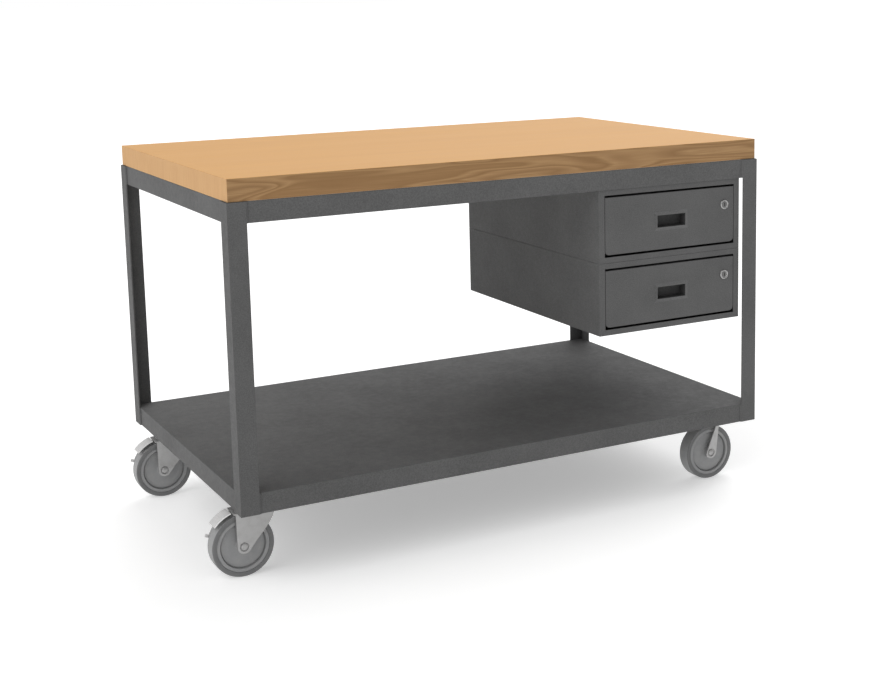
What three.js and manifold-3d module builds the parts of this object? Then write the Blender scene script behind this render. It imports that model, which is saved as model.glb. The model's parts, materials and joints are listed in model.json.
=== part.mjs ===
// Mobile workbench: wood worktop on a welded angle-iron frame, a bottom shelf, two lockable
// drawers in stacked housings, two rigid casters on the right and two braked swivel casters
// on the left. Millimetres, +Z up, +X to the right and -Y to the front.
import * as THREE from 'three';
import { mergeVertices } from 'three/addons/utils/BufferGeometryUtils.js';
import Module from 'manifold-3d';

const wasm = await Module();
wasm.setup();

// Overall sizes
const LENGTH = 1219.2; // over the legs, left to right
const DEPTH = 762; // over the legs, front to back
const LEG_LENGTH = 602;

// Clearances
const FIT = 0.3; // between pieces that touch
const PAST = 1; // cutters and joined bars run past the faces they cross
const RUNNING = 0.8; // between pieces that slide or turn in each other

// Worktop, legs, rails and shelf
const TOP_THICKNESS = 44;
const TOP_INSET = 3.6; // worktop edge inside the outer faces of the legs
const LEG_FLANGE = 38.1;
const LEG_WALL = 3.2;
const RAIL_HEIGHT = 41;
const RAIL_FLANGE = 34; // horizontal flange that the worktop lies on
const RAIL_WALL = 3;
const SHELF_LIP = 41.3;
const SHELF_SHEET = 2;

// Drawer housings
const HOUSING_WIDTH = 368.3;
const HOUSING_HEIGHT = 157.3;
const HOUSING_DEPTH = 606;
const HOUSING_SHEET = 1.5;
const HOUSING_LEG_GAP = 6.2; // edge of the right leg to the housing's right side
const FRAME_SIDE = 14.5; // face strips beside the drawer front
const FRAME_BAR = 12.3; // face strips over and under the drawer front
const HANGER_FLANGE = 25;
const HANGER_WALL = 2.5;
const HANGER_INSET = 60; // hanger to the housing's side

// Drawers
const FRONT_SIDE_GAP = 1.2;
const FRONT_BAR_GAP = 4.7;
const FRONT_SHEET = 1.5;
const FRONT_RETURN = 22; // depth of the bent edges of the front
const FRONT_CORNER = 10; // radius of the lower corners
const BOX_SHEET = 1.2;
const BOX_LIFT = 5; // box bottom over the lower face strip
const BOX_DROP = 38.8; // housing top to the box's rim
const BOX_REAR_GAP = 28.7; // box to the back of the housing
const PULL_RIM = { width: 90, height: 42.5 };
const PULL_MOUTH = { width: 73, height: 26 };
const PULL_PROUD = 2.5; // height of the raised rim
const PULL_EDGE = 1.5; // flat edge round the mouth, on the rim
const PULL_DEPTH = 19;

// Telescopic slides
const SLIDE_SPACE = 12.7; // opening's side to the drawer box
const SLIDE_WALL = 1.2;
const SLIDE_HEIGHT = 35;
const SLIDE_REAR_GAP = 15; // slide's end to the back of the box
const SLIDE_DROP = 90; // housing top to the middle of the slides
const SLIDE_PAD = 30; // length of each spacer pad

// Locks
const LOCK_SIDE = 40.7; // lock axis to the housing's right side
const LOCK_DROP = 56; // lock axis under the housing's top
const LOCK_FACE = 11;
const LOCK_FACE_PROUD = 2.5;
const LOCK_BARREL = 9.3;
const LOCK_CHAMFER = 1;
const LOCK_PLUG = 6.4;
const PLUG_INSET = 0.5; // plug's face behind the barrel's
const PLUG_NECK = 4.4; // part that carries the cam
const KEYWAY = { width: 1.8, height: 8, depth: 6 };
const CAM = { width: 13, thickness: 2.4, tipGap: 4 };
const KEEPER = { width: 44, height: 11 };

// Channels under the shelf that the casters are fastened to
const CHANNEL_WIDTH = 104;
const CHANNEL_WALL = 3;
const CHANNEL_END_GAP = 12; // channel end to the shelf's lip

// Casters
const CASTER_SIDE_INSET = 101.6; // caster centre to the front or back of the frame
const CASTER_END_INSET = 65.2; // swivel axis or rigid caster's centre to the frame's end
const WHEEL_RADIUS = 63.5;
const WHEEL_WIDTH = 31.75;
const TREAD_DEPTH = 9.8;
const SHOULDER = 3; // rounding of the tread's edges
const SHOULDER_STEPS = 3;
const CORE_LIP = 7.5; // radial width of the rim beside the dished disc
const CORE_INSET = 0.6; // core's rim behind the tread's face
const CORE_DISH = 4.5; // depth of the dished disc
const DISH_SLOPE = 1; // radial run of the step down into the dish
const HUB_RADIUS = 13;
const AXLE_RADIUS = 5;
const AXLE_HEAD = { radius: 8.5, thickness: 2.2 };
const CHEEK_GAP = 4; // wheel to fork cheek
const CHEEK_WALL = 3;
const CHEEK_FOOT = 14; // radius of the cheek's end round the axle
const CROWN_GAP = 3.7; // tread to the fork's crown
const HEAD_HEIGHT = 25.4; // tread to the bottoms of the legs
const PLATE = { length: 95, width: 80, thickness: 3 };
const RACE_RADIUS = 26;
const KINGPIN_RADIUS = 6;
const KINGPIN_HEAD = { radius: 9.5, thickness: 2.4 };
const TRAIL = 36.1; // swivel axis to wheel axle

// Swivel fork, measured from the axle
const CROWN_BACK = 18.5;
const CHEEK_BACK = 14.8;
const CHEEK_FRONT = 64.5;
const CHEEK_ELBOW = { x: 24.6, z: 8.9 }; // where the leading edge starts to sweep forward

// Rigid fork
const RIGID_TOP_HALF = 25; // half width of the cheek at the plate

// Brake pedal: a strap curved round the wheel, and a side plate between the wheel and the
// rear cheek that carries the strap, the pivot pin and a hooked tail
const PEDAL_CLEAR = 8.6; // tread to strap
const PEDAL_SHEET = 2.4;
const PEDAL_FROM = 107.5; // degrees round the axle from the forward direction
const PEDAL_TO = 140;
const TAIL_TO = 163;
const TAIL_BAND = 12; // radial width of the tail
const HOOK_REACH = 7; // hook's tip past the tread
const HOOK_SPAN = 5.5; // degrees
const PIVOT_BACK = 8; // pivot pin behind the axle
const PIVOT_DROP = 5.5; // pivot pin under the top of the tread
const PIVOT_LUG = 6;
const PIVOT_PIN = 3;

const HALF_LENGTH = LENGTH / 2;
const HALF_DEPTH = DEPTH / 2;
const FRAME_LIFT = 2 * WHEEL_RADIUS + HEAD_HEIGHT; // floor to the bottoms of the legs
const DECK_HEIGHT = FRAME_LIFT + LEG_LENGTH; // floor to the tops of the legs and rails
const HOUSING_END_GAP = LEG_FLANGE + HOUSING_LEG_GAP;
const CURVE_STEPS = 6; // facets of each arc in an outline
const BAR_SIDES = 24; // facets round bolts, pins and locks
const WHEEL_SIDES = 32; // facets round wheels

// Materials
const finish = (color, roughness, metalness) =>
  new THREE.MeshStandardMaterial({ color, roughness, metalness });
const maple = finish(0xdfb17f, 0.55, 0);
const powderCoat = finish(0x5c5d5e, 0.7, 0.1);
const plainSteel = finish(0x9c9ea0, 0.45, 0.8);
const zinc = finish(0x9d9e9f, 0.5, 0.7);
const pedalSteel = finish(0xdcdcdc, 0.4, 0.6);
const lockMetal = finish(0xd2d2d0, 0.25, 1);
const treadRubber = finish(0x757677, 0.65, 0);
const corePlastic = finish(0x868788, 0.5, 0);

// Solids: three.js shapes, joined and cut
function solid(geometry) {
  const plain = geometry.clone();
  plain.deleteAttribute('normal');
  plain.deleteAttribute('uv');
  const merged = mergeVertices(plain, 1e-4);
  const mesh = new wasm.Mesh({
    numProp: 3,
    vertProperties: new Float32Array(merged.attributes.position.array),
    triVerts: new Uint32Array(merged.index.array),
  });
  return new wasm.Manifold(mesh);
}

function geometryOf(body) {
  const mesh = body.getMesh();
  const geometry = new THREE.BufferGeometry();
  geometry.setAttribute('position', new THREE.BufferAttribute(mesh.vertProperties, 3));
  geometry.setIndex(new THREE.BufferAttribute(mesh.triVerts, 1));
  geometry.computeVertexNormals();
  return geometry;
}

const join = (first, ...rest) => rest.reduce((body, next) => body.add(next), first);
const cut = (first, ...rest) => rest.reduce((body, next) => body.subtract(next), first);

// A box between two corners
function block(x0, x1, y0, y1, z0, z1) {
  const geometry = new THREE.BoxGeometry(x1 - x0, y1 - y0, z1 - z0);
  geometry.translate((x0 + x1) / 2, (y0 + y1) / 2, (z0 + z1) / 2);
  return solid(geometry);
}

// A round bar along Y, or a hexagon with 6 sides
function barY(radius, y0, y1, x = 0, z = 0, sides = BAR_SIDES) {
  const geometry = new THREE.CylinderGeometry(radius, radius, y1 - y0, sides);
  geometry.translate(x, (y0 + y1) / 2, z);
  return solid(geometry);
}

// A round bar along Z
function barZ(radius, z0, z1) {
  const geometry = new THREE.CylinderGeometry(radius, radius, z1 - z0, BAR_SIDES);
  geometry.rotateX(Math.PI / 2);
  geometry.translate(0, 0, (z0 + z1) / 2);
  return solid(geometry);
}

// An outline drawn in X and Z, made thick from y0 to y1
function plateXZ(shape, y0, y1) {
  const geometry = new THREE.ExtrudeGeometry(shape, {
    depth: y1 - y0,
    bevelEnabled: false,
    curveSegments: CURVE_STEPS,
  });
  geometry.rotateX(Math.PI / 2);
  geometry.translate(0, y1, 0);
  return solid(geometry);
}

// A ring or disc turned about the Y axis from [radius, y] points
function turnedY(points, sides) {
  const outline = points.map(([radius, y]) => new THREE.Vector2(radius, y));
  return solid(new THREE.LatheGeometry(outline, sides));
}

const bench = new THREE.Group();

function part(name, body, material, parent = bench) {
  const mesh = new THREE.Mesh(geometryOf(body), material);
  mesh.name = name;
  parent.add(mesh);
  return mesh;
}

function place(parent, x, y, z) {
  const group = new THREE.Group();
  group.position.set(x, y, z);
  parent.add(group);
  return group;
}

// ---- Frame ----

function worktop() {
  const halfX = HALF_LENGTH - TOP_INSET;
  const halfY = HALF_DEPTH - TOP_INSET;
  const base = DECK_HEIGHT + FIT;
  return block(-halfX, halfX, -halfY, halfY, base, base + TOP_THICKNESS);
}

// An angle-iron leg with its outer corner on the Z axis
function leg() {
  const outline = new THREE.Shape();
  outline.moveTo(0, 0);
  outline.lineTo(LEG_FLANGE, 0);
  outline.lineTo(LEG_FLANGE, LEG_WALL);
  outline.lineTo(LEG_WALL, LEG_WALL);
  outline.lineTo(LEG_WALL, LEG_FLANGE);
  outline.lineTo(0, LEG_FLANGE);
  outline.closePath();
  const depth = DECK_HEIGHT - FRAME_LIFT;
  return solid(new THREE.ExtrudeGeometry(outline, { depth, bevelEnabled: false }));
}

function legs() {
  const corners = ['leg_front_left', 'leg_front_right', 'leg_rear_right', 'leg_rear_left'];
  corners.forEach((name, turn) => {
    const right = turn === 1 || turn === 2 ? 1 : -1;
    const rear = turn > 1 ? 1 : -1;
    const mesh = part(name, leg(), powderCoat);
    mesh.position.set(right * HALF_LENGTH, rear * HALF_DEPTH, FRAME_LIFT);
    mesh.rotation.z = (turn * Math.PI) / 2;
  });
}

// A rail along X with its outer face at y = 0 and its top at z = 0
function rail(webLength, flangeLength) {
  const web = block(-webLength / 2, webLength / 2, 0, RAIL_WALL, -RAIL_HEIGHT, 0);
  const half = flangeLength / 2;
  return join(web, block(-half, half, 0, RAIL_FLANGE, -RAIL_WALL, 0));
}

function rails() {
  const inset = LEG_WALL + FIT;
  const long = LENGTH - 2 * inset;
  const short = DEPTH - 2 * (inset + RAIL_WALL + FIT);
  const shortFlange = DEPTH - 2 * (inset + RAIL_FLANGE + FIT);
  const sideRail = () => {
    const ends = block(-short / 2, short / 2, 0, RAIL_WALL, -RAIL_HEIGHT, -RAIL_WALL - FIT);
    return join(rail(shortFlange, shortFlange), ends);
  };
  const placed = [
    ['rail_front', rail(long, long), 0, -HALF_DEPTH + inset, 0],
    ['rail_rear', rail(long, long), 0, HALF_DEPTH - inset, Math.PI],
    ['rail_left', sideRail(), -HALF_LENGTH + inset, 0, -Math.PI / 2],
    ['rail_right', sideRail(), HALF_LENGTH - inset, 0, Math.PI / 2],
  ];
  for (const [name, body, x, y, turn] of placed) {
    const mesh = part(name, body, powderCoat);
    mesh.position.set(x, y, DECK_HEIGHT);
    mesh.rotation.z = turn;
  }
}

// A pan with its lips down, inside the legs
function shelf() {
  const halfX = HALF_LENGTH - LEG_WALL - FIT;
  const halfY = HALF_DEPTH - LEG_WALL - FIT;
  const top = FRAME_LIFT + SHELF_LIP;
  const under = top - SHELF_SHEET;
  const pan = block(-halfX, halfX, -halfY, halfY, FRAME_LIFT, top);
  const inX = halfX - SHELF_SHEET;
  const inY = halfY - SHELF_SHEET;
  return cut(pan, block(-inX, inX, -inY, inY, FRAME_LIFT - PAST, under));
}

// A channel from front to back under the shelf, open at the top and at its ends
function casterChannel() {
  const half = CHANNEL_WIDTH / 2;
  const length = HALF_DEPTH - LEG_WALL - FIT - SHELF_SHEET - CHANNEL_END_GAP;
  const top = SHELF_LIP - SHELF_SHEET - FIT;
  const bar = block(-half, half, -length, length, 0, top);
  const inner = half - CHANNEL_WALL;
  const past = length + PAST;
  return cut(bar, block(-inner, inner, -past, past, CHANNEL_WALL, top + PAST));
}

function casterChannels() {
  for (const [hand, side] of [['left', -1], ['right', 1]]) {
    const mesh = part(`caster_channel_${hand}`, casterChannel(), powderCoat);
    mesh.position.set(side * (HALF_LENGTH - CASTER_END_INSET), 0, FRAME_LIFT);
  }
}

// ---- Drawer unit, in a group whose origin is the housing's top front centre ----

const OPENING_HALF = HOUSING_WIDTH / 2 - FRAME_SIDE;
const BOX_HALF = OPENING_HALF - SLIDE_SPACE;
const LOCK_X = HOUSING_WIDTH / 2 - LOCK_SIDE;
const BOX_FRONT = FRONT_RETURN + FIT;
const BOX_REAR = HOUSING_DEPTH - BOX_REAR_GAP;
const CAM_FRONT = BOX_FRONT + BOX_SHEET + RUNNING;

function housing() {
  const half = HOUSING_WIDTH / 2;
  const sheet = HOUSING_SHEET;
  const floor = -HOUSING_HEIGHT;
  const shell = block(-half, half, 0, HOUSING_DEPTH, floor, 0);
  const hollow = block(
    -half + sheet, half - sheet, sheet, HOUSING_DEPTH - sheet, floor + sheet, -sheet,
  );
  const mouth = block(
    -OPENING_HALF, OPENING_HALF, -PAST, sheet + PAST, floor + FRAME_BAR, -FRAME_BAR,
  );
  const back = CAM_FRONT - RUNNING;
  const keeper = block(
    LOCK_X - KEEPER.width / 2, LOCK_X + KEEPER.width / 2,
    back - sheet, back, -sheet - KEEPER.height, -sheet / 2,
  );
  return join(cut(shell, hollow, mouth), keeper);
}

// An angle bar that carries the housings, across the frame under the rails' flanges
function hanger() {
  const ends = LEG_WALL + FIT + RAIL_WALL + FIT;
  const length = DEPTH - 2 * ends;
  const top = -RAIL_WALL - FIT;
  const bottom = -RAIL_HEIGHT + FIT;
  const half = length / 2;
  const web = block(0, HANGER_WALL, -half, half, bottom, top);
  return join(web, block(0, HANGER_FLANGE, -half, half, bottom, bottom + HANGER_WALL));
}

// A box whose back and front faces differ in size
function funnel(front, back, y0, y1) {
  const geometry = new THREE.BoxGeometry(front.width, y1 - y0, front.height);
  const position = geometry.attributes.position;
  for (let i = 0; i < position.count; i += 1) {
    if (position.getY(i) > 0) {
      position.setX(i, (Math.sign(position.getX(i)) * back.width) / 2);
      position.setZ(i, (Math.sign(position.getZ(i)) * back.height) / 2);
    }
  }
  geometry.translate(0, (y0 + y1) / 2, 0);
  return solid(geometry);
}

// Front outline with round lower corners, drawn about its centre
function frontOutline(width, height, corner) {
  const x = width / 2;
  const z = height / 2;
  const outline = new THREE.Shape();
  outline.moveTo(-x, z);
  outline.lineTo(-x, -z + corner);
  outline.absarc(-x + corner, -z + corner, corner, Math.PI, 1.5 * Math.PI, false);
  outline.lineTo(x - corner, -z);
  outline.absarc(x - corner, -z + corner, corner, -0.5 * Math.PI, 0, false);
  outline.lineTo(x, z);
  outline.closePath();
  return outline;
}

const FRONT_WIDTH = 2 * (OPENING_HALF - FRONT_SIDE_GAP);
const FRONT_HEIGHT = HOUSING_HEIGHT - 2 * (FRAME_BAR + FRONT_BAR_GAP);
const FRONT_MIDDLE = -HOUSING_HEIGHT / 2;

// Bent-sheet front with the pressed-in pull, about the centre of its face
function drawerFront() {
  const sheet = FRONT_SHEET;
  const inner = frontOutline(
    FRONT_WIDTH - 2 * sheet, FRONT_HEIGHT - 2 * sheet, FRONT_CORNER - sheet,
  );
  const pan = cut(
    plateXZ(frontOutline(FRONT_WIDTH, FRONT_HEIGHT, FRONT_CORNER), 0, FRONT_RETURN),
    plateXZ(inner, sheet, FRONT_RETURN + PAST),
  );
  const around = (size, by) => ({ width: size.width + 2 * by, height: size.height + 2 * by });
  const rim = funnel(around(PULL_MOUTH, PULL_EDGE), PULL_RIM, -PULL_PROUD, FIT);
  const cupWall = around(PULL_MOUTH, sheet);
  const cupBack = funnel(cupWall, cupWall, 0, PULL_DEPTH + sheet);
  const cup = funnel(PULL_MOUTH, PULL_MOUTH, -PULL_PROUD - PAST, PULL_DEPTH);
  const lockHole = barY(LOCK_BARREL + FIT, -PAST, FRONT_RETURN, LOCK_X, -LOCK_DROP - FRONT_MIDDLE);
  return cut(join(pan, rim, cupBack), cup, lockHole);
}

// Open tray behind the front
function drawerBox() {
  const sheet = BOX_SHEET;
  const bottom = -HOUSING_HEIGHT + FRAME_BAR + BOX_LIFT;
  const rear = BOX_REAR;
  const tray = block(-BOX_HALF, BOX_HALF, BOX_FRONT, rear, bottom, -BOX_DROP);
  const inside = block(
    -BOX_HALF + sheet, BOX_HALF - sheet, BOX_FRONT + sheet, rear - sheet,
    bottom + sheet, PAST - BOX_DROP,
  );
  const lockHole = barY(LOCK_BARREL + FIT, BOX_FRONT - PAST, CAM_FRONT, LOCK_X, -LOCK_DROP);
  return cut(tray, inside, lockHole);
}

// A channel along Y: its web at |x| = web, its flanges from there to |x| = edge
function channel(side, web, edge, height, y0) {
  const toward = Math.sign(edge - web);
  const y1 = y0 + SLIDE_LENGTH;
  const span = (a, b) => [Math.min(side * a, side * b), Math.max(side * a, side * b)];
  const [x0, x1] = span(web, edge);
  const [c0, c1] = span(web + toward * SLIDE_WALL, edge + toward * PAST);
  const hollow = height / 2 - SLIDE_WALL;
  const outer = block(x0, x1, y0, y1, -height / 2, height / 2);
  return cut(outer, block(c0, c1, y0 - PAST, y1 + PAST, -hollow, hollow));
}

const SLIDE_FRONT = BOX_FRONT + FIT;
const SLIDE_LENGTH = BOX_REAR - SLIDE_REAR_GAP - SLIDE_FRONT;
const CASE_WEB = OPENING_HALF + FIT + SLIDE_WALL; // behind the face strip
const MIDDLE_WEB = CASE_WEB - SLIDE_WALL - RUNNING;
const MIDDLE_HEIGHT = SLIDE_HEIGHT - 2 * (SLIDE_WALL + RUNNING);
const RUNNER_WEB = BOX_HALF + FIT;
const RUNNER_HEIGHT = MIDDLE_HEIGHT - 2 * (SLIDE_WALL + RUNNING);
const PAD_HALF = SLIDE_HEIGHT / 3;

// Fixed slide channel with the pads that space it off the housing's side
function slideFixed(side) {
  const edge = RUNNER_WEB + SLIDE_WALL + RUNNING;
  const body = channel(side, CASE_WEB, edge, SLIDE_HEIGHT, SLIDE_FRONT);
  const wall = HOUSING_WIDTH / 2 - HOUSING_SHEET - FIT;
  const x0 = Math.min(side * wall, side * (CASE_WEB - SLIDE_WALL / 2));
  const x1 = Math.max(side * wall, side * (CASE_WEB - SLIDE_WALL / 2));
  const pads = [0, (SLIDE_LENGTH - SLIDE_PAD) / 2, SLIDE_LENGTH - SLIDE_PAD].map((y) => block(
    x0, x1, SLIDE_FRONT + y, SLIDE_FRONT + y + SLIDE_PAD, -PAD_HALF, PAD_HALF,
  ));
  return join(body, ...pads);
}

function slideMiddle(side) {
  const edge = RUNNER_WEB + SLIDE_WALL + RUNNING;
  return channel(side, MIDDLE_WEB, edge, MIDDLE_HEIGHT, SLIDE_FRONT);
}

function slideRunner(side) {
  const edge = MIDDLE_WEB - SLIDE_WALL - RUNNING;
  return channel(side, RUNNER_WEB, edge, RUNNER_HEIGHT, SLIDE_FRONT);
}

// Lock parts, turned about the lock's axis, with the drawer's face at y = 0
function lockBarrel() {
  const bore = LOCK_PLUG + FIT;
  const end = CAM_FRONT - FIT;
  return turnedY([
    [bore, -LOCK_FACE_PROUD], [LOCK_FACE - LOCK_CHAMFER, -LOCK_FACE_PROUD],
    [LOCK_FACE, LOCK_CHAMFER - LOCK_FACE_PROUD],
    [LOCK_FACE, -FIT], [LOCK_BARREL, -FIT], [LOCK_BARREL, end], [bore, end],
    [bore, -LOCK_FACE_PROUD],
  ], BAR_SIDES);
}

function lockPlug() {
  const front = -LOCK_FACE_PROUD + PLUG_INSET;
  const slot = KEYWAY.width / 2;
  const tall = KEYWAY.height / 2;
  const body = barY(LOCK_PLUG, front, CAM_FRONT - FIT);
  const neck = barY(PLUG_NECK, front, CAM_FRONT + CAM.thickness);
  const keyway = block(-slot, slot, front - PAST, front + KEYWAY.depth, -tall, tall);
  return cut(join(body, neck), keyway);
}

// Cam in its open place, pointing left; it turns up behind the keeper
function lockCam() {
  const reach = LOCK_DROP - HOUSING_SHEET - CAM.tipGap;
  const half = CAM.width / 2;
  const outline = new THREE.Shape();
  outline.absarc(0, 0, half, -0.5 * Math.PI, 0.5 * Math.PI, false);
  outline.lineTo(-reach, half);
  outline.lineTo(-reach, -half);
  outline.closePath();
  const neck = barY(PLUG_NECK + FIT, CAM_FRONT - PAST, CAM_FRONT + CAM.thickness + PAST);
  return cut(plateXZ(outline, CAM_FRONT, CAM_FRONT + CAM.thickness), neck);
}

function drawerUnit(level, top) {
  const x = HALF_LENGTH - HOUSING_END_GAP - HOUSING_WIDTH / 2;
  const y = -HALF_DEPTH + LEG_WALL + FIT + RAIL_WALL + FIT;
  const unit = place(bench, x, y, top);
  part(`drawer_housing_${level}`, housing(), powderCoat, unit);
  part(`drawer_box_${level}`, drawerBox(), powderCoat, unit);
  part(`drawer_front_${level}`, drawerFront(), powderCoat, place(unit, 0, 0, FRONT_MIDDLE));
  const lock = place(unit, LOCK_X, 0, -LOCK_DROP);
  part(`lock_barrel_${level}`, lockBarrel(), lockMetal, lock);
  part(`lock_plug_${level}`, lockPlug(), lockMetal, lock);
  part(`lock_cam_${level}`, lockCam(), plainSteel, lock);
  const slides = place(unit, 0, 0, -SLIDE_DROP);
  for (const [hand, side] of [['left', -1], ['right', 1]]) {
    part(`slide_fixed_${level}_${hand}`, slideFixed(side), plainSteel, slides);
    part(`slide_middle_${level}_${hand}`, slideMiddle(side), plainSteel, slides);
    part(`slide_runner_${level}_${hand}`, slideRunner(side), plainSteel, slides);
  }
}

function drawers() {
  const top = DECK_HEIGHT - RAIL_HEIGHT;
  drawerUnit('upper', top);
  drawerUnit('lower', top - HOUSING_HEIGHT - FIT);
  const right = HALF_LENGTH - HOUSING_END_GAP;
  const places = [
    ['drawer_hanger_left', right - HOUSING_WIDTH + HANGER_INSET, 0],
    ['drawer_hanger_right', right - HANGER_INSET, Math.PI],
  ];
  for (const [name, x, turn] of places) {
    const mesh = part(name, hanger(), powderCoat);
    mesh.position.set(x, 0, DECK_HEIGHT);
    mesh.rotation.z = turn;
  }
}

// ---- Casters, in groups whose origin is on the floor under the plate's centre ----

const CHEEK_IN = WHEEL_WIDTH / 2 + CHEEK_GAP;
const CHEEK_OUT = CHEEK_IN + CHEEK_WALL;
const PLATE_TOP = FRAME_LIFT - FIT;
const PLATE_UNDER = PLATE_TOP - PLATE.thickness;
const CROWN_UNDER = 2 * WHEEL_RADIUS + CROWN_GAP;
const CROWN_TOP = CROWN_UNDER + CHEEK_WALL;
const TREAD_INNER = WHEEL_RADIUS - TREAD_DEPTH;
const PIVOT_X = -PIVOT_BACK; // from the axle
const PIVOT_Z = WHEEL_RADIUS - PIVOT_DROP;

function tread() {
  const half = WHEEL_WIDTH / 2;
  const outline = [[TREAD_INNER, half]];
  for (let step = 0; step <= SHOULDER_STEPS; step += 1) {
    const angle = (Math.PI / 2) * (1 - step / SHOULDER_STEPS);
    const radius = WHEEL_RADIUS - SHOULDER + SHOULDER * Math.cos(angle);
    outline.push([radius, half - SHOULDER + SHOULDER * Math.sin(angle)]);
  }
  const mirrored = outline.map(([radius, y]) => [radius, -y]).reverse();
  return turnedY([...outline, ...mirrored, outline[0]].reverse(), WHEEL_SIDES);
}

function wheelCore() {
  const rim = TREAD_INNER - FIT;
  const half = WHEEL_WIDTH / 2 - CORE_INSET;
  const hub = CHEEK_IN - RUNNING;
  const disc = half - CORE_DISH;
  const bore = AXLE_RADIUS + FIT;
  const outline = [
    [bore, hub], [HUB_RADIUS, hub], [HUB_RADIUS, disc],
    [rim - CORE_LIP - DISH_SLOPE, disc], [rim - CORE_LIP, half], [rim, half],
  ];
  const mirrored = outline.map(([radius, y]) => [radius, -y]).reverse();
  return turnedY([...outline, ...mirrored, outline[0]].reverse(), WHEEL_SIDES);
}

// Riveted axle with a round head outside each cheek
function axle() {
  const inside = CHEEK_OUT + FIT;
  const outside = inside + AXLE_HEAD.thickness;
  return join(
    barY(AXLE_RADIUS, -outside, outside),
    barY(AXLE_HEAD.radius, -outside, -inside),
    barY(AXLE_HEAD.radius, inside, outside),
  );
}

// Cheek of a swivel fork, about the axle: an upright trailing edge and a leading edge that
// sweeps forward to the crown
function swivelCheek() {
  const crown = CROWN_TOP - WHEEL_RADIUS;
  const turn = CHEEK_ELBOW.z + CHEEK_FRONT - CHEEK_ELBOW.x;
  const outline = new THREE.Shape();
  outline.moveTo(-CHEEK_BACK, crown);
  outline.lineTo(-CHEEK_FOOT, 0);
  outline.absarc(0, 0, CHEEK_FOOT, Math.PI, 1.8 * Math.PI, false);
  outline.lineTo(CHEEK_ELBOW.x, CHEEK_ELBOW.z);
  outline.quadraticCurveTo(CHEEK_FRONT, turn, CHEEK_FRONT, crown);
  outline.closePath();
  return outline;
}

// Cheek of a rigid fork, about the axle: both edges taper evenly to the foot
function rigidCheek() {
  const top = PLATE_TOP - WHEEL_RADIUS;
  const spread = Math.acos(CHEEK_FOOT / Math.hypot(RIGID_TOP_HALF, top));
  const lean = Math.atan2(top, RIGID_TOP_HALF) - spread;
  const outline = new THREE.Shape();
  outline.moveTo(-RIGID_TOP_HALF, top);
  outline.absarc(0, 0, CHEEK_FOOT, Math.PI - lean, 2 * Math.PI + lean, false);
  outline.lineTo(RIGID_TOP_HALF, top);
  outline.closePath();
  return outline;
}

// Both cheeks of a fork, with the holes for the axle
function cheekPair(outline) {
  const cheeks = join(
    plateXZ(outline, -CHEEK_OUT, -CHEEK_IN),
    plateXZ(outline, CHEEK_IN, CHEEK_OUT),
  );
  return cut(cheeks, barY(AXLE_RADIUS + FIT, -CHEEK_OUT - PAST, CHEEK_OUT + PAST));
}

// Fork of a swivel caster: two cheeks, crown, and the bearing race on top
function swivelFork() {
  const under = CROWN_UNDER - WHEEL_RADIUS;
  const top = CROWN_TOP - WHEEL_RADIUS;
  const race = PLATE_UNDER - RUNNING - WHEEL_RADIUS;
  const crown = block(-CROWN_BACK, CHEEK_FRONT, -CHEEK_OUT, CHEEK_OUT, under, top);
  const bearing = barZ(RACE_RADIUS, top - PAST, race).translate(TRAIL, 0, 0);
  const kingpin = barZ(KINGPIN_RADIUS + FIT, under - PAST, race + PAST).translate(TRAIL, 0, 0);
  const pinHole = barY(PIVOT_PIN + FIT, 0, CHEEK_OUT + PAST, PIVOT_X, PIVOT_Z);
  return cut(join(cheekPair(swivelCheek()), crown, bearing), kingpin, pinHole);
}

// Top plate with its kingpin, whose head holds the crown from below
function swivelPlate() {
  const halfX = PLATE.length / 2;
  const halfY = PLATE.width / 2;
  const headTop = CROWN_UNDER - RUNNING;
  const headUnder = headTop - KINGPIN_HEAD.thickness;
  return join(
    block(-halfX, halfX, -halfY, halfY, PLATE_UNDER, PLATE_TOP),
    barZ(KINGPIN_RADIUS, headUnder, PLATE_UNDER + PAST),
    barZ(KINGPIN_HEAD.radius, headUnder, headTop),
  );
}

function rigidFork() {
  const halfX = PLATE.length / 2;
  const halfY = PLATE.width / 2;
  const top = PLATE_TOP - WHEEL_RADIUS;
  const plate = block(-halfX, halfX, -halfY, halfY, top - PLATE.thickness, top);
  return join(cheekPair(rigidCheek()), plate);
}

// Part of a ring round the axle, in X and Z, from one angle to another in degrees
function ringSector(inner, outer, from, to) {
  const a = THREE.MathUtils.degToRad(from);
  const b = THREE.MathUtils.degToRad(to);
  const outline = new THREE.Shape();
  outline.absarc(0, 0, outer, a, b, false);
  outline.absarc(0, 0, inner, b, a, true);
  outline.closePath();
  return outline;
}

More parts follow.
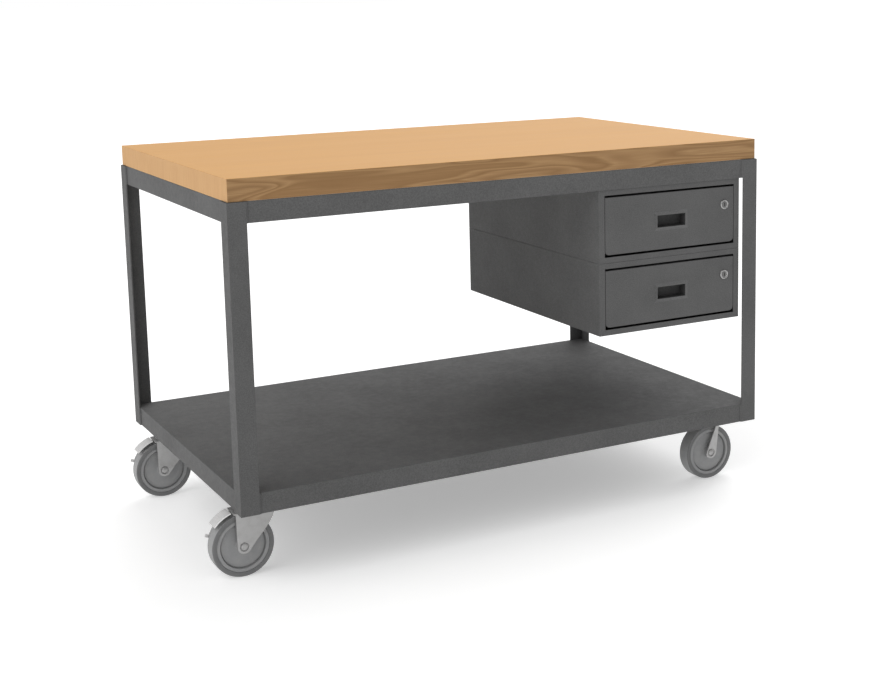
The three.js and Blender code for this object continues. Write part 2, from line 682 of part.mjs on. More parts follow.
// Pedal about its pivot pin
function brakePedal() {
  const inner = WHEEL_RADIUS + PEDAL_CLEAR;
  const outer = inner + PEDAL_SHEET;
  const sideIn = WHEEL_WIDTH / 2 + RUNNING;
  const sideOut = CHEEK_IN - RUNNING;
  const tail = WHEEL_RADIUS - TAIL_BAND;
  const side = (low, high, from, to) => plateXZ(ringSector(low, high, from, to), sideIn, sideOut);
  const neck = new THREE.Shape();
  const start = THREE.MathUtils.degToRad(PEDAL_FROM);
  neck.moveTo(PIVOT_X, PIVOT_Z + PIVOT_LUG);
  neck.lineTo(-CROWN_BACK - RUNNING, PIVOT_Z + PIVOT_LUG);
  neck.lineTo(inner * Math.cos(start), inner * Math.sin(start));
  neck.lineTo(tail * Math.cos(start), tail * Math.sin(start));
  neck.lineTo(PIVOT_X, PIVOT_Z - PIVOT_LUG);
  neck.closePath();
  const pedal = join(
    plateXZ(ringSector(inner, outer, PEDAL_FROM, PEDAL_TO), -WHEEL_WIDTH / 2, sideOut),
    side(tail, outer - PEDAL_SHEET / 2, PEDAL_FROM, PEDAL_TO),
    side(tail, WHEEL_RADIUS, PEDAL_TO - PAST, TAIL_TO),
    side(WHEEL_RADIUS - PAST, WHEEL_RADIUS + HOOK_REACH, TAIL_TO - HOOK_SPAN, TAIL_TO),
    plateXZ(neck, sideIn, sideOut),
    barY(PIVOT_LUG, sideIn, sideOut, PIVOT_X, PIVOT_Z),
    barY(PIVOT_PIN, sideIn, CHEEK_OUT, PIVOT_X, PIVOT_Z),
  );
  return pedal.translate(-PIVOT_X, 0, -PIVOT_Z);
}

function wheel(name, hub) {
  part(`wheel_core_${name}`, wheelCore(), corePlastic, hub);
  part(`wheel_tread_${name}`, tread(), treadRubber, hub);
  part(`axle_${name}`, axle(), zinc, hub);
}

function casters() {
  for (const [row, side] of [['front', -1], ['rear', 1]]) {
    const y = side * (HALF_DEPTH - CASTER_SIDE_INSET);
    const left = place(bench, -HALF_LENGTH + CASTER_END_INSET, y, 0);
    const trailing = place(left, -TRAIL, 0, WHEEL_RADIUS);
    part(`swivel_plate_${row}_left`, swivelPlate(), zinc, left);
    part(`swivel_fork_${row}_left`, swivelFork(), zinc, trailing);
    const pivot = place(trailing, PIVOT_X, 0, PIVOT_Z);
    part(`brake_pedal_${row}_left`, brakePedal(), pedalSteel, pivot);
    wheel(`${row}_left`, trailing);
    const right = place(bench, HALF_LENGTH - CASTER_END_INSET, y, WHEEL_RADIUS);
    part(`rigid_fork_${row}_right`, rigidFork(), zinc, right);
    wheel(`${row}_right`, right);
  }
}

part('worktop', worktop(), maple);
legs();
rails();
part('bottom_shelf', shelf(), powderCoat);
casterChannels();
drawers();
casters();

// The origin is on the floor under the middle of the whole object
const extent = new THREE.Box3().setFromObject(bench);
bench.position.x = -(extent.min.x + extent.max.x) / 2;
bench.position.y = -(extent.min.y + extent.max.y) / 2;

export default bench;
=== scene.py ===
import json
from math import copysign, cos, pi, radians, sin

import bmesh
import bpy
from mathutils import Matrix, Vector


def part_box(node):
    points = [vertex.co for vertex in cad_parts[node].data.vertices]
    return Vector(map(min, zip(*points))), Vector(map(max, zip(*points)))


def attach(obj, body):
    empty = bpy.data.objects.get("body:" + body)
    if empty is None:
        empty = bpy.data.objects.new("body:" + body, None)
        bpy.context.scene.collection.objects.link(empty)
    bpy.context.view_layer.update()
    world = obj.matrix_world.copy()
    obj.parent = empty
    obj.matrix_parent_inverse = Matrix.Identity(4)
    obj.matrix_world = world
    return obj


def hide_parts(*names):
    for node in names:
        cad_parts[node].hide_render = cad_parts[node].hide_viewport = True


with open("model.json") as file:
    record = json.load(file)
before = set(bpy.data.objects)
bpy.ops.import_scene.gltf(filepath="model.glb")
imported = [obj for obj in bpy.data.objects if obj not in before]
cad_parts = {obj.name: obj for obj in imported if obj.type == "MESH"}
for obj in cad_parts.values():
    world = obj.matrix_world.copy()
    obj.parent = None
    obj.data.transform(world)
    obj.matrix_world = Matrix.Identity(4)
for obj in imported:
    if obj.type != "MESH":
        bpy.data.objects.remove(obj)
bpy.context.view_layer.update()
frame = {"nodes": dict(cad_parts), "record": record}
nodes = frame["nodes"]
record = frame["record"]
body_of = {n: b for b, members in record["behaviour"]["bodies"].items() for n in members}
slot_of = {part["node"]: part["material_slot"] for part in record["subparts"]}
MM = 0.001


# ---- Materials: every one is built from noise in the piece's own coordinates ----

def grey(value, warm=0.0):
    """A linear grey, a little warmer or cooler."""
    return (value * (1 + warm), value, value * (1 - warm), 1)


class Finish:
    """A procedural material and the few node chains that all of them use."""

    def __init__(self, name, **sockets):
        self.material = bpy.data.materials.new(name)
        self.material.use_nodes = True
        self.tree = self.material.node_tree
        self.shader = self.tree.nodes["Principled BSDF"]
        self.coords = self.node("ShaderNodeTexCoord").outputs["Object"]
        for socket, value in sockets.items():
            self.surface(socket.replace("_", " "), value)

    def node(self, kind, inputs=None, **settings):
        node = self.tree.nodes.new(kind)
        for name, value in settings.items():
            setattr(node, name, value)
        for name, value in (inputs or {}).items():
            self.plug(node.inputs[name], value)
        return node

    def plug(self, socket, value):
        if isinstance(value, bpy.types.NodeSocket):
            self.tree.links.new(value, socket)
        else:
            socket.default_value = value

    def surface(self, socket, value):
        self.plug(self.shader.inputs[socket], value)

    def noise(self, size, stretch=(1, 1, 1), detail=2, offset=0, warp=0):
        """Noise with features of about that size in metres, longer where stretch is above 1."""
        place = self.node("ShaderNodeMapping", {
            "Vector": self.coords,
            "Location": (offset, offset * 1.7, offset * 0.6),
            "Scale": [1 / (size * s) for s in stretch],
        })
        return self.node("ShaderNodeTexNoise", {
            "Vector": place.outputs["Vector"], "Scale": 1, "Detail": detail, "Distortion": warp,
        }).outputs["Fac"]

    def ramp(self, fac, *stops):
        node = self.node("ShaderNodeValToRGB", {"Fac": fac})
        elements = node.color_ramp.elements
        for element, (position, color) in zip((elements[0], elements[1]), (stops[0], stops[-1])):
            element.position = position
            element.color = color
        for position, color in stops[1:-1]:
            elements.new(position).color = color
        return node.outputs["Color"]

    def range(self, fac, low, high, start=0.3, end=0.7):
        return self.node("ShaderNodeMapRange", {
            "Value": fac, "From Min": start, "From Max": end, "To Min": low, "To Max": high,
        }).outputs["Result"]

    def mix(self, a, b, share):
        """a and b mixed by a factor that is itself a texture."""
        return self.node("ShaderNodeMix", {0: share, 6: a, 7: b}, data_type="RGBA").outputs[2]

    def times(self, a, b):
        return self.node("ShaderNodeMath", {0: a, 1: b}, operation="MULTIPLY").outputs[0]

    def plus(self, a, b):
        return self.node("ShaderNodeMath", {0: a, 1: b}, operation="ADD").outputs[0]

    def bump(self, height, depth, strength=1.0):
        """Relief of that depth in metres."""
        self.surface("Normal", self.node("ShaderNodeBump", {
            "Height": height, "Distance": depth, "Strength": strength,
        }).outputs["Normal"])


def powder_coat(name, base):
    """Charcoal powder coat: fine speckle, orange peel, and faint handling wear."""
    look = Finish(name)
    speckle = look.noise(2.2 * MM, detail=3)
    clouds = look.noise(90 * MM, detail=2, offset=4)
    fine = look.ramp(speckle, (0.3, grey(0.83 * base)), (0.5, grey(base)), (0.7, grey(1.2 * base)))
    worn = look.ramp(speckle, (0.3, grey(0.88 * base)), (0.7, grey(1.27 * base)))
    look.surface("Base Color", look.mix(fine, worn, look.range(clouds, 0, 1, 0.35, 0.65)))
    look.surface("Roughness", look.range(look.noise(12 * MM, detail=3, offset=9), 0.62, 0.76))
    look.surface("Specular IOR Level", look.range(clouds, 0.22, 0.3))
    look.bump(look.noise(1.1 * MM, detail=2, offset=2), 0.05 * MM)
    return look.material


def maple_face():
    """The working face: pale strips glued side by side, fine grain along the length."""
    look = Finish("maple_face")
    grain = look.noise(2.2 * MM, stretch=(90, 1, 1), detail=4)
    figure = look.noise(26 * MM, stretch=(16, 1, 1), detail=3, offset=3, warp=0.6)
    strips = look.noise(44 * MM, stretch=(22, 1, 40), detail=0, offset=7)
    pale = look.ramp(grain, (0.25, (0.65, 0.353, 0.122, 1)), (0.75, (0.70, 0.392, 0.142, 1)))
    tan = look.ramp(grain, (0.25, (0.62, 0.326, 0.108, 1)), (0.75, (0.67, 0.362, 0.126, 1)))
    share = look.times(look.range(figure, 0, 1), look.range(strips, 0.3, 1))
    look.surface("Base Color", look.mix(pale, tan, share))
    look.surface("Roughness", look.range(grain, 0.5, 0.62))
    look.surface("Specular IOR Level", look.range(figure, 0.18, 0.26))
    look.bump(grain, 0.06 * MM)
    return look.material


def maple_end():
    """The ends of the strips: close upright lines with small pores."""
    look = Finish("maple_end")
    lines = look.noise(1.9 * MM, stretch=(1, 1, 30), detail=2)
    pores = look.noise(0.9 * MM, detail=1, offset=5)
    blocks = look.noise(48 * MM, stretch=(1, 1, 30), detail=1, offset=8)
    light = look.ramp(lines, (0.25, (0.52, 0.303, 0.137, 1)), (0.75, (0.60, 0.362, 0.171, 1)))
    dark = look.ramp(lines, (0.25, (0.50, 0.288, 0.128, 1)), (0.75, (0.58, 0.345, 0.162, 1)))
    look.surface("Base Color", look.mix(light, dark, look.range(blocks, 0, 1)))
    look.surface("Roughness", look.range(pores, 0.6, 0.75))
    look.surface("Specular IOR Level", look.range(lines, 0.12, 0.2))
    look.bump(look.plus(lines, pores), 0.07 * MM)
    return look.material


def maple_edge():
    """The long edges: brown flame figure, drawn out along the board."""
    look = Finish("maple_edge")
    rings = look.noise(30 * MM, stretch=(9, 1, 1), detail=0.6, offset=2.3, warp=0.5)
    fibre = look.noise(1.6 * MM, stretch=(45, 1, 1), detail=3, offset=6)
    dark, mid, light = (0.245, 0.135, 0.056, 1), (0.300, 0.172, 0.076, 1), (0.385, 0.232, 0.106, 1)
    flame = look.ramp(rings, (0.30, mid), (0.37, dark), (0.42, light), (0.47, mid), (0.50, dark),
                      (0.53, light), (0.58, mid), (0.63, dark), (0.68, light))
    still = look.ramp(rings, (0.30, dark), (0.42, mid), (0.50, dark), (0.56, mid), (0.68, dark))
    look.surface("Base Color", look.mix(flame, still, look.range(fibre, 0, 0.7)))
    look.surface("Roughness", look.range(fibre, 0.5, 0.65))
    look.surface("Specular IOR Level", look.range(rings, 0.15, 0.22))
    look.bump(fibre, 0.05 * MM)
    return look.material


def maple_under():
    """The underside: unfinished strips, greyed by dust."""
    look = Finish("maple_under")
    grain = look.noise(2.2 * MM, stretch=(90, 1, 1), detail=4)
    dust = look.noise(60 * MM, detail=3, offset=3)
    clean = look.ramp(grain, (0.25, (0.42, 0.370, 0.315, 1)), (0.75, (0.46, 0.405, 0.345, 1)))
    dusty = look.ramp(grain, (0.25, (0.41, 0.380, 0.350, 1)), (0.75, (0.44, 0.410, 0.380, 1)))
    look.surface("Base Color", look.mix(clean, dusty, look.range(dust, 0, 1)))
    look.surface("Roughness", look.range(dust, 0.7, 0.85))
    look.surface("Specular IOR Level", look.range(grain, 0.1, 0.16))
    look.bump(grain, 0.08 * MM)
    return look.material


def metal(name, base, roughness, metallic, brushed=(1, 1, 1), grain=1.2 * MM):
    """Plated or drawn steel: brushed or spangled grain, stains, uneven gloss."""
    look = Finish(name, Metallic=metallic)
    fine = look.noise(grain, stretch=brushed, detail=4)
    stain = look.noise(14 * MM, detail=3, offset=5)
    clean = look.ramp(fine, (0.3, grey(base * 0.93)), (0.7, grey(base * 1.07, 0.01)))
    dull = look.ramp(fine, (0.3, grey(base * 0.84, 0.01)), (0.7, grey(base * 0.97, 0.02)))
    look.surface("Base Color", look.mix(clean, dull, look.range(stain, 0, 0.8, 0.45, 0.75)))
    look.surface("Roughness", look.range(stain, roughness * 0.85, roughness * 1.2))
    look.bump(fine, 0.03 * MM)
    return look.material


def moulded(name, base, roughness, grain, relief):
    """Moulded plastic or rubber: fine texture, scuffs and dust."""
    look = Finish(name)
    fine = look.noise(grain, detail=3)
    dust = look.noise(18 * MM, detail=4, offset=3)
    clean = look.ramp(fine, (0.3, grey(base * 0.95, -0.01)), (0.7, grey(base * 1.05, -0.01)))
    dusty = look.ramp(fine, (0.3, grey(base * 1.04)), (0.7, grey(base * 1.16, 0.01)))
    look.surface("Base Color", look.mix(clean, dusty, look.range(dust, 0, 1, 0.4, 0.75)))
    look.surface("Roughness", look.range(dust, roughness * 0.9, roughness * 1.1))
    look.surface("Specular IOR Level", look.range(dust, 0.2, 0.3))
    look.bump(fine, relief)
    return look.material


FACE = maple_face()
END = maple_end()
EDGE = maple_edge()
UNDER = maple_under()
# Painted shade: a darker coat for the faces inside the pull's recess, standing in for the shade
# there.
PAINTED_SHADE_COAT = powder_coat("powder_coat_painted_shade", 0.045)  # darker, for the shade inside the pull
# Painted light: a paler coat on the pull's rim, standing in for the light its slopes catch.
PAINTED_LIGHT_COAT = powder_coat("powder_coat_painted_light", 0.108)  # paler, so that the pull's rim shows
TREAD_RUN = moulded("caster_tread_run", 0.30, 0.62, 1.5 * MM, 0.08 * MM)
PLUG = metal("lock_plug", 0.13, 0.26, 0.90, brushed=(1, 1, 6), grain=0.4 * MM)
finishes = {
    "powder_coat": powder_coat("powder_coat", 0.092),
    "caster_steel": metal("caster_steel", 0.40, 0.46, 0.55),
    "pedal_steel": metal("pedal_steel", 0.78, 0.36, 0.45, brushed=(1, 18, 1)),
    "slide_steel": metal("slide_steel", 0.50, 0.34, 0.85, brushed=(1, 60, 1)),
    "lock_metal": metal("lock_metal", 0.33, 0.15, 0.95, brushed=(1, 1, 6), grain=0.4 * MM),
    "caster_tread": moulded("caster_tread", 0.165, 0.66, 1.2 * MM, 0.06 * MM),
    "caster_core": moulded("caster_core", 0.275, 0.52, 0.8 * MM, 0.04 * MM),
}


# ---- Mesh helpers ----

WELDED = 0.001 * MM  # corners closer than this are one
FLAT = 0.5  # degrees; faces that meet at less are one
FOLD = 18  # degrees; a fold sharper than this keeps its edge
ROUNDED = 32  # degrees; a corner sharper than this gets a radius


def collect(mesh, name, *materials):
    """A new object in the scene with that mesh and those materials."""
    for material in materials:
        mesh.materials.append(material)
    obj = bpy.data.objects.new(name, mesh)
    bpy.context.scene.collection.objects.link(obj)
    return obj


def settle(obj, node, replaces=True):
    """The object rides with the node's body and, as a rule, stands for it."""
    if replaces:
        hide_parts(node)
    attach(obj, body_of[node])
    return obj


def smooth(mesh, angle=35):
    """Rounded shading, with a hard edge at folds sharper than angle in degrees."""
    mesh.shade_smooth()
    mesh.set_sharp_from_angle(angle=radians(angle))


def clean_copy(node):
    """The node's mesh with split corners joined and flat faces made whole."""
    bm = bmesh.new()
    bm.from_mesh(nodes[node].data)
    bmesh.ops.remove_doubles(bm, verts=bm.verts, dist=WELDED)
    bmesh.ops.dissolve_limit(bm, angle_limit=radians(FLAT), verts=bm.verts, edges=bm.edges)
    mesh = bpy.data.meshes.new(node + "_skin")
    bm.to_mesh(mesh)
    bm.free()
    smooth(mesh, FOLD)
    return mesh


def soften(obj, edge, segments=2):
    """Folded and cut edges get a small radius."""
    bevel = obj.modifiers.new("edges", "BEVEL")
    bevel.width = edge
    bevel.segments = segments
    bevel.limit_method = "ANGLE"
    bevel.angle_limit = radians(ROUNDED)
    bevel.harden_normals = True
    return obj


def sheet_metal(node, edge):
    """A node's own shape with rolled edges and its slot's finish."""
    obj = collect(clean_copy(node), node + "_skin", finishes[slot_of[node]])
    return settle(soften(obj, edge), node)


def baked(obj):
    """The object's mesh with its modifiers applied."""
    bpy.context.view_layer.update()
    seen = obj.evaluated_get(bpy.context.evaluated_depsgraph_get())
    mesh = bpy.data.meshes.new_from_object(seen)
    obj.modifiers.clear()
    obj.data = mesh
    return obj


def arc(radius, y, size, start, end, steps=8):
    """Points of a rounded corner of a turned outline, about (radius, y)."""
    angles = [radians(start + (end - start) * i / steps) for i in range(steps + 1)]
    return [(radius + size * cos(a), y + size * sin(a)) for a in angles]


def turned(name, outline, centre, sides=96):
    """A closed outline of (radius, y) points in mm, turned about the Y axis through centre."""
    bm = bmesh.new()
    rings = []
    for radius, y in outline:
        angles = [2 * pi * i / sides for i in range(sides)]
        rings.append([bm.verts.new((radius * MM * cos(a), y * MM, radius * MM * sin(a)))
                      for a in angles])
    for ring, after in zip(rings, rings[1:] + rings[:1]):
        for i in range(sides):
            j = (i + 1) % sides
            bm.faces.new((ring[i], ring[j], after[j], after[i]))
    bmesh.ops.remove_doubles(bm, verts=bm.verts, dist=WELDED)
    bmesh.ops.recalc_face_normals(bm, faces=bm.faces)
    bmesh.ops.translate(bm, verts=bm.verts, vec=centre)
    mesh = bpy.data.meshes.new(name)
    bm.to_mesh(mesh)
    bm.free()
    smooth(mesh)
    return mesh


def mirrored(outline):
    """An outline from the bore outwards at +y, closed by its mirror image at -y."""
    return outline + [(radius, -y) for radius, y in reversed(outline)]


def merged(name, *meshes):
    """One mesh that holds them all."""
    bm = bmesh.new()
    for mesh in meshes:
        bm.from_mesh(mesh)
    out = bpy.data.meshes.new(name)
    bm.to_mesh(out)
    bm.free()
    return out


def middle(node):
    """The centre of the node's box."""
    low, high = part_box(node)
    return (low + high) / 2


# ---- Worktop ----

def worktop():
    """The slab, with its own wood on the face, the ends, the long edges and the underside."""
    low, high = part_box("worktop")
    bm = bmesh.new()
    bmesh.ops.create_cube(bm, size=1)
    bmesh.ops.scale(bm, vec=high - low, verts=bm.verts)
    bmesh.ops.translate(bm, vec=(low + high) / 2, verts=bm.verts)
    for face in bm.faces:
        sideways, along, _ = (abs(c) for c in face.normal)
        upright = 1 if sideways > 0.5 else 2 if along > 0.5 else 0
        face.material_index = 3 if face.normal.z < -0.5 else upright
    mesh = bpy.data.meshes.new("worktop_slab")
    bm.to_mesh(mesh)
    bm.free()
    mesh.shade_smooth()
    obj = soften(collect(mesh, "worktop_slab", FACE, END, EDGE, UNDER), 0.9 * MM, 3)
    settle(obj, "worktop")


# ---- Casters ----

TREAD_INNER = 53.7  # this and the sizes below are in mm
TREAD_OUTER = 63.5
TREAD_CORNER = 3
WHEEL_HALF = 31.75 / 2
CHEEK_IN = WHEEL_HALF + 4
CHEEK_OUT = CHEEK_IN + 3
DIMPLE = 9.6  # radius of the pressed recess round the axle
DIMPLE_DEPTH = 2.3
SCREW_SPAN = (77, 62)  # between the plate's screws, across and along
SCREW_HEAD = (7.3, 4.5)  # radius and height
WASHER = (8.6, 1.2)
SCREW_SUNK = 0.05  # how far the head sits in its washer
PLATE_THICKNESS = 3.3


def tread_mesh(name, centre):
    """The tyre, with a moulded line round each side and a slightly crowned running face."""
    half = WHEEL_HALF
    outline = [(TREAD_INNER, half - 0.4), (TREAD_INNER + 0.4, half)]
    outline += [(TREAD_INNER + 2.6, half), (TREAD_INNER + 2.9, half - 0.25),
                (TREAD_INNER + 3.4, half - 0.25), (TREAD_INNER + 3.7, half)]
    outline += arc(TREAD_OUTER - 3.2, half - TREAD_CORNER, TREAD_CORNER, 90, 12, 10)
    outline += [(TREAD_OUTER - 0.05, half - 7), (TREAD_OUTER, 3)]
    return turned(name, mirrored(outline), centre, 144)


def core_mesh(name, centre):
    """The moulded core: a hub, a dished web with a groove at its edge, and a rim."""
    face = WHEEL_HALF - 0.6
    dish = face - 4.5
    outline = [(5.4, 17.9), (12, 17.9), (13, 17.0), (13.6, dish + 1.2), (15, dish + 0.2),
               (17, dish), (30, dish - 0.3), (43.6, dish)]
    outline += [(44.4, dish - 0.3), (44.7, dish - 2.2), (46.2, dish - 2.2)]
    outline += [(46.6, face - 0.6), (47.2, face)]
    outline += [(52.7, face), (53.4, face - 0.5)]
    return turned(name, mirrored(outline), centre, 120)


def axle_mesh(name, centre):
    """The riveted axle, with a domed head in each recess."""
    shoulder = CHEEK_OUT - DIMPLE_DEPTH + 0.1
    outline = [(0, shoulder + 3.0), (3.2, shoulder + 2.9), (5.6, shoulder + 2.3),
               (6.9, shoulder + 1.2), (7.2, shoulder), (5, shoulder)]
    return turned(name, mirrored(outline), centre, 48)


def wheel(place):
    """Core, tyre and axle of one caster; the tyre is paler where it runs on the floor."""
    centre = middle(f"wheel_tread_{place}")
    core, tread, axle = (f"{p}_{place}" for p in ("wheel_core", "wheel_tread", "axle"))
    mesh = core_mesh(core + "_moulding", centre)
    settle(collect(mesh, core + "_moulding", finishes["caster_core"]), core)
    mesh = tread_mesh(tread + "_tyre", centre)
    obj = collect(mesh, tread + "_tyre", finishes["caster_tread"], TREAD_RUN)
    for face in mesh.polygons:
        runs = (face.center - centre).xz.length > (TREAD_OUTER - 5.5) * MM
        if runs and abs(face.normal.y) < 0.6:
            face.material_index = 1
    settle(obj, tread)
    mesh = axle_mesh(axle + "_rivet", centre)
    settle(collect(mesh, axle + "_rivet", finishes["caster_steel"]), axle)


def fork(node, place):
    """The pressed fork, with a recess pressed into each cheek round the axle."""
    centre = middle(f"wheel_tread_{place}")
    steel = finishes["caster_steel"]
    obj = soften(collect(clean_copy(node), node + "_pressing", steel), 0.9 * MM, 3)
    tools = []
    for side in (-1, 1):
        bm = bmesh.new()
        turn = Matrix.Translation(centre + Vector((0, side * (CHEEK_IN + 1.5) * MM, 0)))
        turn = turn @ Matrix.Rotation(pi / 2, 4, "X")
        bmesh.ops.create_cone(bm, cap_ends=True, segments=48, radius1=DIMPLE * MM,
                              radius2=DIMPLE * MM, depth=8 * MM, matrix=turn)
        mesh = bpy.data.meshes.new("drill")
        bm.to_mesh(mesh)
        bm.free()
        drill = collect(mesh, f"drill_{place}_{side}")
        drilled = obj.modifiers.new("recess", "BOOLEAN")
        drilled.operation = "DIFFERENCE"
        drilled.solver = "EXACT"
        drilled.object = drill
        tools.append(drill)
    baked(obj)
    for drill in tools:
        bpy.data.objects.remove(drill)
    cups = []
    for side in (-1, 1):
        face, seat = side * CHEEK_OUT, side * (CHEEK_OUT - DIMPLE_DEPTH)
        inner = seat - side * 1.2
        outline = [(DIMPLE + 0.05, face - side * 0.1), (DIMPLE - 0.5, face - side * 0.5),
                   (DIMPLE - 1.0, seat + side * 0.4), (DIMPLE - 1.6, seat), (5.1, seat),
                   (5.1, inner), (DIMPLE - 0.4, inner), (DIMPLE + 0.05, seat)]
        cups.append(turned(f"{node}_cup", outline, centre, 48))
    obj.data = merged(node + "_pressing", obj.data, *cups)
    obj.data.materials.clear()
    obj.data.materials.append(steel)
    smooth(obj.data, 40)
    settle(obj, node)


def disc(bm, segments, size, centre):
    """A flat round or many-sided piece of that radius and height in mm, about centre."""
    radius, height = (v * MM for v in size)
    bmesh.ops.create_cone(bm, cap_ends=True, segments=segments, radius1=radius,
                          radius2=radius, depth=height, matrix=Matrix.Translation(centre))


def plate_screws(place, plate, height):
    """Four hexagon screws with washers under a caster's top plate."""
    mid = middle(plate)
    washer_middle = height - WASHER[1] / 2 * MM
    head_middle = height - (WASHER[1] + SCREW_HEAD[1] / 2 - SCREW_SUNK) * MM
    bm = bmesh.new()
    for x in (-0.5, 0.5):
        for y in (-0.5, 0.5):
            across, along = mid.x + x * SCREW_SPAN[0] * MM, mid.y + y * SCREW_SPAN[1] * MM
            disc(bm, 6, SCREW_HEAD, (across, along, head_middle))
            disc(bm, 32, WASHER, (across, along, washer_middle))
    mesh = bpy.data.meshes.new(f"plate_screws_{place}")
    bm.to_mesh(mesh)
    bm.free()
    mesh.shade_smooth()
    obj = soften(collect(mesh, f"plate_screws_{place}", finishes["caster_steel"]), 0.4 * MM)
    settle(obj, plate, replaces=False)


def casters():
    """Swivel casters with brakes on the left, rigid ones on the right."""
    for row in ("front", "rear"):
        for hand in ("left", "right"):
            place = f"{row}_{hand}"
            wheel(place)
            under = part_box(f"leg_{place}")[0].z - PLATE_THICKNESS * MM
            if hand == "left":
                fork(f"swivel_fork_{place}", place)
                sheet_metal(f"swivel_plate_{place}", 0.7 * MM)
                sheet_metal(f"brake_pedal_{place}", 0.5 * MM)
                plate_screws(place, f"swivel_plate_{place}", under)
            else:
                fork(f"rigid_fork_{place}", place)
                plate_screws(place, f"rigid_fork_{place}", under)


# ---- Locks, sheet metal and drawer fronts ----

def lock_barrel(level):
    """The turned barrel with its domed face ring, and a darker plug in it."""
    node = f"lock_barrel_{level}"
    low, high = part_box(node)
    centre = Vector(((low.x + high.x) / 2, low.y, (low.z + high.z) / 2))
    depth = (high.y - low.y) / MM
    outline = [(6.7, 1.1), (7.3, 1.1), (7.9, 0.4), (8.5, 0.05), (8.9, 0)]
    outline += [(9.5, 0.1), (10.1, 0.4), (10.6, 0.9), (11, 1.6), (11, 2.2), (9.3, 2.2)]
    outline += [(9.3, depth), (6.7, depth)]
    mesh = turned(node + "_turned", outline, centre, 64)
    settle(collect(mesh, node + "_turned", finishes["lock_metal"]), node)
    bpy.data.objects[f"lock_plug_{level}_skin"].data.materials[0] = PLUG


# Radius of the edges of each kind of piece, in mm
EDGES = {
    "leg": 0.9, "rail": 0.6, "bottom_shelf": 0.8, "caster_channel": 0.8, "drawer_hanger": 0.6,
    "drawer_housing": 0.45, "drawer_box": 0.35, "lock_plug": 0.15,
    "lock_cam": 0.3, "slide_fixed": 0.3, "slide_middle": 0.3, "slide_runner": 0.3,
}


def plain_pieces():
    """Every piece that keeps its own shape."""
    for node in sorted(nodes):
        for kind, edge in EDGES.items():
            if node == kind or node.startswith(kind + "_"):
                sheet_metal(node, edge * MM)


PULL_HALF = (37.2, 13.7)  # just outside the recess's walls, in mm
ON_RIM = 2  # greatest depth of the rim's faces behind its front, in mm
BEHIND_FACE = 3  # least depth of the recess's faces, in mm
# Painted light: every rim face except the left slope gets the paler coat, so the left slope stays
# darker.
LEFT_SLOPE = -0.3  # the rim's left slope faces further left than this and keeps its coat


def drawer_front(level):
    """The pressed front, with painted light on the pull's rim (a paler coat, on all but its left
    slope) and painted shade in its recess (a darker coat).
    """
    node = f"drawer_front_{level}"
    obj = sheet_metal(node, 0.45 * MM)
    obj.modifiers["edges"].harden_normals = False
    obj.modifiers.new("normals", "WEIGHTED_NORMAL").keep_sharp = True
    obj.data.materials.append(PAINTED_SHADE_COAT)
    obj.data.materials.append(PAINTED_LIGHT_COAT)
    low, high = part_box(node)
    mid = (low + high) / 2
    for face in obj.data.polygons:
        off = face.center - mid
        depth = face.center.y - low.y
        in_pull = abs(off.x) < PULL_HALF[0] * MM and abs(off.z) < PULL_HALF[1] * MM
        # Painted shade: the faces inside the pull's recess get the darker coat.
        if in_pull and depth > BEHIND_FACE * MM:
            face.material_index = 1
        # Painted light: the rim's faces, except its left slope, get the paler coat.
        elif depth < ON_RIM * MM and face.normal.x > LEFT_SLOPE:
            face.material_index = 2


# ---- Welds where the rails and the shelf meet the legs ----

BEAD_WIDTH = 3.2 * MM
BEAD_SET_BACK = 0.5 * MM  # from the leg's outer face
BEAD_SHORT = 0.6 * MM  # at each end of the seam


def bead(bm, edge, root, toe, bottom, top):
    """A rounded fillet in plan, from the leg's edge round to the toe on the other piece."""
    steps = [radians(90 * i / 5) for i in range(6)]
    plan = [root + (edge - root) * cos(a) + (toe - root) * sin(a) for a in steps] + [root]
    lower = [bm.verts.new((p.x, p.y, bottom)) for p in plan]
    upper = [bm.verts.new((p.x, p.y, top)) for p in plan]
    bm.faces.new(lower)
    bm.faces.new(upper)
    for i in range(len(plan)):
        j = (i + 1) % len(plan)
        bm.faces.new((lower[i], lower[j], upper[j], upper[i]))


def welds(row, hand):
    """The four upright beads at one leg: two rails and the shelf's two lips."""
    leg_low, leg_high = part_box(f"leg_{row}_{hand}")
    outer = [(leg_low, leg_high)[hand == "right"].x, (leg_low, leg_high)[row == "rear"].y]
    inner = [(leg_high, leg_low)[hand == "right"].x, (leg_high, leg_low)[row == "rear"].y]
    bm = bmesh.new()
    for axis, rail in ((0, f"rail_{row}"), (1, f"rail_{hand}")):
        across = 1 - axis
        inward = copysign(1, inner[axis] - outer[axis])
        step = copysign(1, inner[across] - outer[across])
        for other in (rail, "bottom_shelf"):
            low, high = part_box(other)
            face = low[across] if step > 0 else high[across]
            marks = [(inner[axis], outer[across] + step * BEAD_SET_BACK), (inner[axis], face),
                     (inner[axis] + inward * BEAD_WIDTH, face)]
            points = [Vector(m if axis == 0 else m[::-1]) for m in marks]
            bead(bm, *points, low.z + BEAD_SHORT, high.z - BEAD_SHORT)
    bmesh.ops.recalc_face_normals(bm, faces=bm.faces)
    mesh = bpy.data.meshes.new(f"weld_{row}_{hand}")
    bm.to_mesh(mesh)
    bm.free()
    smooth(mesh, 40)
    obj = collect(mesh, f"weld_{row}_{hand}", finishes["powder_coat"])
    settle(obj, f"leg_{row}_{hand}", replaces=False)


worktop()
plain_pieces()
for row in ("front", "rear"):
    for hand in ("left", "right"):
        welds(row, hand)
for level in ("upper", "lower"):
    drawer_front(level)
    lock_barrel(level)
casters()


# ---- Floor, light and camera ----

FLOOR_RADIUS = 200
SUN_SPREAD = 60  # degrees; wide, so that shadows are soft
LENS = 60.951  # focal length in mm on a sensor 36 mm wide
SHIFT = (-0.12, -0.14)
STAND = (-1.4381, -2.999, 1.1271)  # from under the middle of the worktop, on the floor
PAN, PITCH, ROLL = -29.711, -9.012, -0.829  # degrees


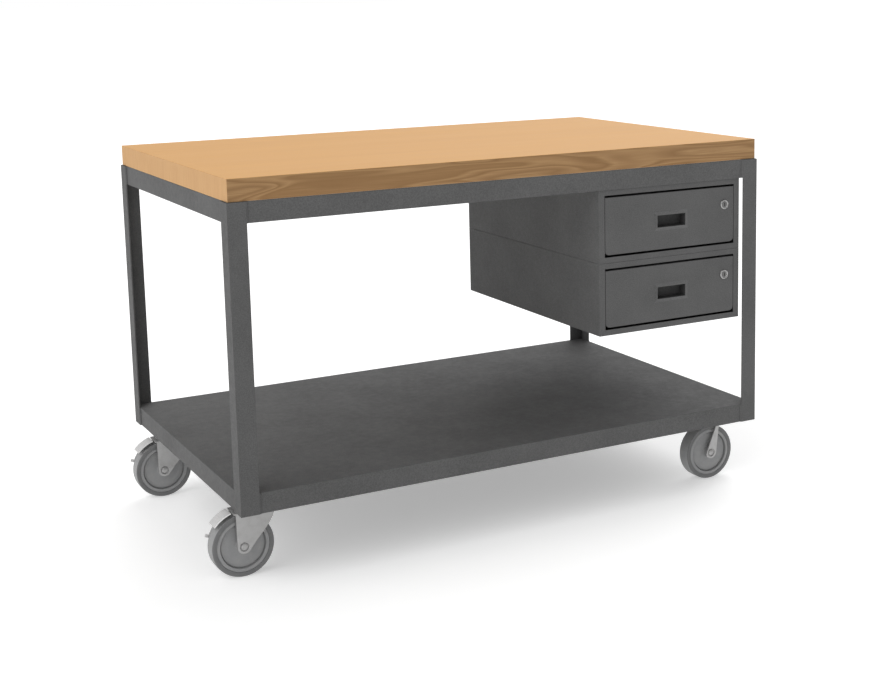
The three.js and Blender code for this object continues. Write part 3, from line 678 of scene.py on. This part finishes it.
def floor():
    """A pale floor out past the horizon that glows a little, so that it stays white."""
    bm = bmesh.new()
    bmesh.ops.create_circle(bm, cap_ends=True, segments=64, radius=FLOOR_RADIUS)
    mesh = bpy.data.meshes.new("floor")
    bm.to_mesh(mesh)
    bm.free()
    look = Finish("floor")
    cloud = look.noise(0.6, detail=2)
    look.surface("Base Color", look.ramp(cloud, (0.3, grey(0.90)), (0.7, grey(0.92))))
    look.surface("Roughness", look.range(cloud, 0.8, 0.9))
    look.surface("Specular IOR Level", look.range(cloud, 0.0, 0.05))
    look.surface("Emission Color", (1, 1, 1, 1))
    look.surface("Emission Strength", 0.32)
    collect(mesh, "floor", look.material)


def soft_sun(name, energy, toward):
    """A wide sun that shines from that direction."""
    sun = bpy.data.lights.new(name, "SUN")
    sun.energy = energy
    sun.angle = radians(SUN_SPREAD)
    obj = bpy.data.objects.new(name, sun)
    bpy.context.scene.collection.objects.link(obj)
    obj.rotation_euler = Vector(toward).to_track_quat("Z", "Y").to_euler()


def light():
    """A white studio round the part, dimmer as a light than as the camera sees it."""
    world = bpy.data.worlds.new("studio")
    bpy.context.scene.world = world
    world.use_nodes = True
    tree = world.node_tree
    sky = tree.nodes["Background"]
    sky.inputs["Color"].default_value = (1, 1, 1, 1)
    sky.inputs["Strength"].default_value = 0.5
    seen = tree.nodes.new("ShaderNodeBackground")
    seen.inputs["Color"].default_value = (1, 1, 1, 1)
    seen.inputs["Strength"].default_value = 1.0
    rays = tree.nodes.new("ShaderNodeLightPath")
    mixed = tree.nodes.new("ShaderNodeMixShader")
    tree.links.new(rays.outputs["Is Camera Ray"], mixed.inputs["Fac"])
    tree.links.new(sky.outputs[0], mixed.inputs[1])
    tree.links.new(seen.outputs[0], mixed.inputs[2])
    tree.links.new(mixed.outputs[0], tree.nodes["World Output"].inputs["Surface"])
    soft_sun("key", 1.25, (-0.7, -0.2, 0.68))
    soft_sun("fill", 1.35, (0.55, 0.45, 0.7))


def camera():
    """The photograph's view, from the front left and a little above the top."""
    lens = bpy.data.cameras.new("camera")
    lens.sensor_width = 36
    lens.lens = LENS
    lens.shift_x, lens.shift_y = SHIFT
    obj = bpy.data.objects.new("camera", lens)
    bpy.context.scene.collection.objects.link(obj)
    stand = Vector(STAND) + Vector((middle("worktop").x, 0, 0))
    turn = Matrix.Rotation(radians(PAN), 4, "Z") @ Matrix.Rotation(radians(90 + PITCH), 4, "X")
    obj.matrix_world = Matrix.Translation(stand) @ turn @ Matrix.Rotation(radians(ROLL), 4, "Z")
    bpy.context.scene.camera = obj


floor()
light()
camera()
bpy.context.scene.view_settings.view_transform = "Standard"
